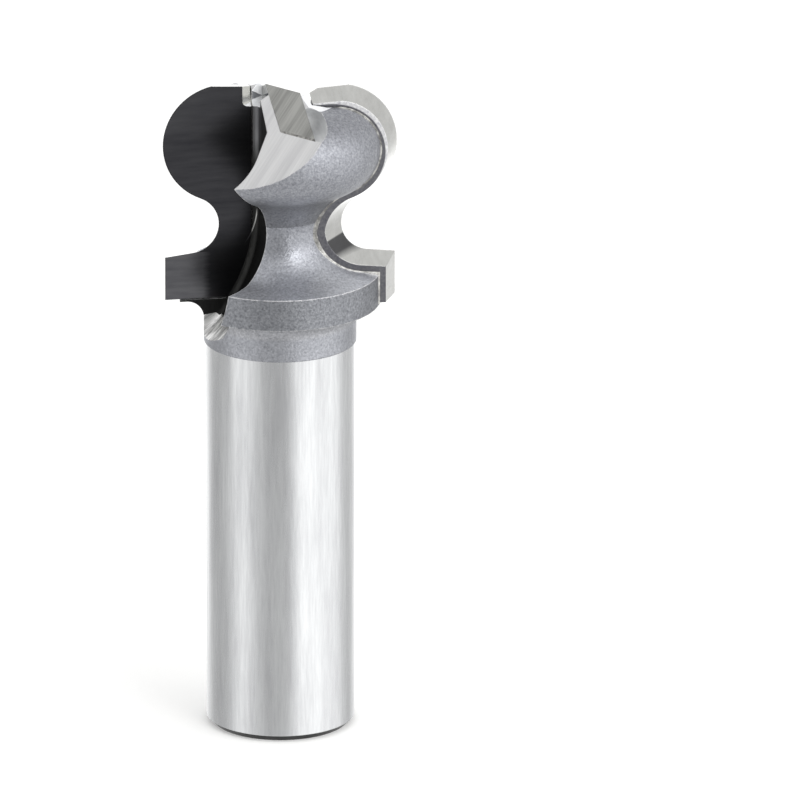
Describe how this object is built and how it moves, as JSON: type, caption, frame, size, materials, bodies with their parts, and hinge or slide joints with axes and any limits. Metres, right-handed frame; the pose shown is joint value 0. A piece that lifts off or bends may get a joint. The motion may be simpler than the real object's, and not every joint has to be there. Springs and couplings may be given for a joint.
{
  "type": "router bit",
  "caption": "Straight-shank router bit that cuts a finger-grip profile: round bead over a narrow cove, with brazed carbide tips and a carbide tip across the end for plunging.",
  "frame": {"origin": "centre of the shank's flat end", "axes": "+Z along the turning axis from the shank to the cutting end, +X through the right profile tip"},
  "size_m": [0.019, 0.0166, 0.0541],
  "materials": {
    "blasted_steel": "hardened steel, blasted matt on the cutter body and ground bright on the shank",
    "ground_carbide": "tungsten carbide, lapped on the rake faces and finely ground on the relief",
    "silver_braze": "silver solder with a faint heat tint"
  },
  "bodies": {
    "root": {"cutter_body": "blasted_steel", "profile_tip_right": "ground_carbide", "profile_tip_left": "ground_carbide", "centre_tip": "ground_carbide", "tip_braze_right": "silver_braze", "tip_braze_left": "silver_braze", "centre_tip_braze": "silver_braze"}
  },
  "joints": []
}
